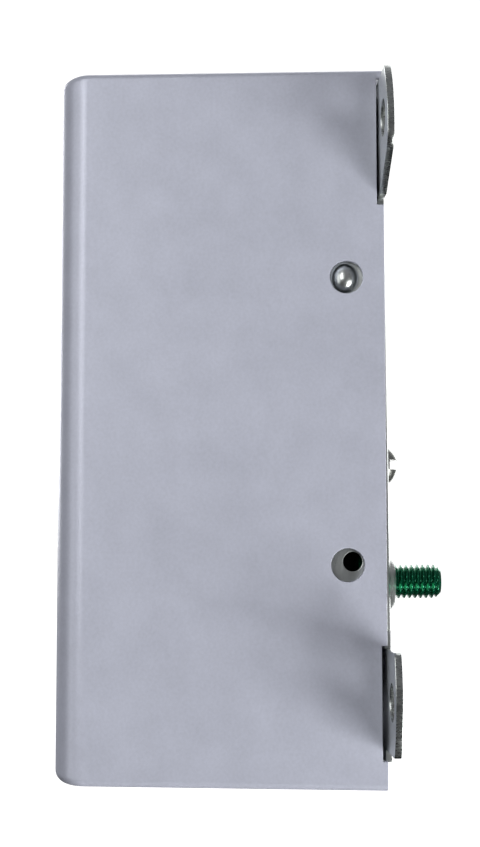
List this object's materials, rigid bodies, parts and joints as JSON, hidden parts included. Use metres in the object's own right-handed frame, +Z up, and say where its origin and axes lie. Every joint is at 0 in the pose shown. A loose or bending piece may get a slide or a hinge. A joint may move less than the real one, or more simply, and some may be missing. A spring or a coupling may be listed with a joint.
{
  "type": "manual transfer switch",
  "caption": "Wall-mounted steel box with ears and a recessed three-position toggle that connects a load to one of two supplies or to neither.",
  "frame": {"origin": "centre of the four wall-bolt holes, on the back plane", "axes": "+X right as seen from the front, +Y towards the wall, +Z up"},
  "size_m": [0.075, 0.055, 0.1016],
  "materials": {
    "cover_powder_coat": "satin light grey powder coat",
    "galvanized_steel": "zinc-plated sheet",
    "zinc_plated_screw": "bright zinc plate",
    "green_zinc": "glossy green dyed zinc plate",
    "legend_aluminium": "satin anodised",
    "phenolic": "moulded thermoset",
    "toggle_nylon": "moulded black",
    "terminal_brass": "stamped brass",
    "contact_copper": "stamped copper",
    "contact_silver": "silver alloy",
    "spring_steel": "oiled spring wire"
  },
  "bodies": {
    "enclosure": {"chassis": "galvanized_steel", "cover": "cover_powder_coat", "cover_screw": "zinc_plated_screw", "legend_plate": "legend_aluminium", "ground_screw": "green_zinc", "mounting_strap": "galvanized_steel", "strap_screws": "zinc_plated_screw", "strap_rivets": "terminal_brass", "switch_base": "phenolic", "switch_cap": "phenolic", "cap_screws": "zinc_plated_screw", "pivot_pin": "zinc_plated_screw", "pin_clip": "spring_steel", "fixed_contacts": "contact_silver", "load_terminal_left": "terminal_brass", "load_terminal_right": "terminal_brass", "line_terminals": "terminal_brass", "generator_terminals": "terminal_brass", "line_screws": "terminal_brass", "load_screws": "terminal_brass", "generator_screws": "zinc_plated_screw", "wire_clamps": "zinc_plated_screw"},
    "toggle": {"toggle_handle": "toggle_nylon", "plungers": "terminal_brass", "plunger_springs": "spring_steel"},
    "contact_rocker": {"contact_arm_left": "contact_copper", "contact_arm_right": "contact_copper", "moving_contacts": "contact_silver"}
  },
  "joints": [
    {"name": "toggle_tilt", "type": "hinge", "parent": "enclosure", "child": "toggle", "pos_m": [0, -0.0225, -0.0072], "axis": [1, 0, 0], "range_deg": [-15, 15]},
    {"name": "contact_rock", "type": "hinge", "parent": "enclosure", "child": "contact_rocker", "pos_m": [0, -0.0075, -0.0072], "axis": [1, 0, 0], "range_deg": [-7.5, 7.5]}
  ],
  "couplings": [
    {"joint": "contact_rock", "follows": "toggle_tilt", "ratio": -0.5}
  ]
}
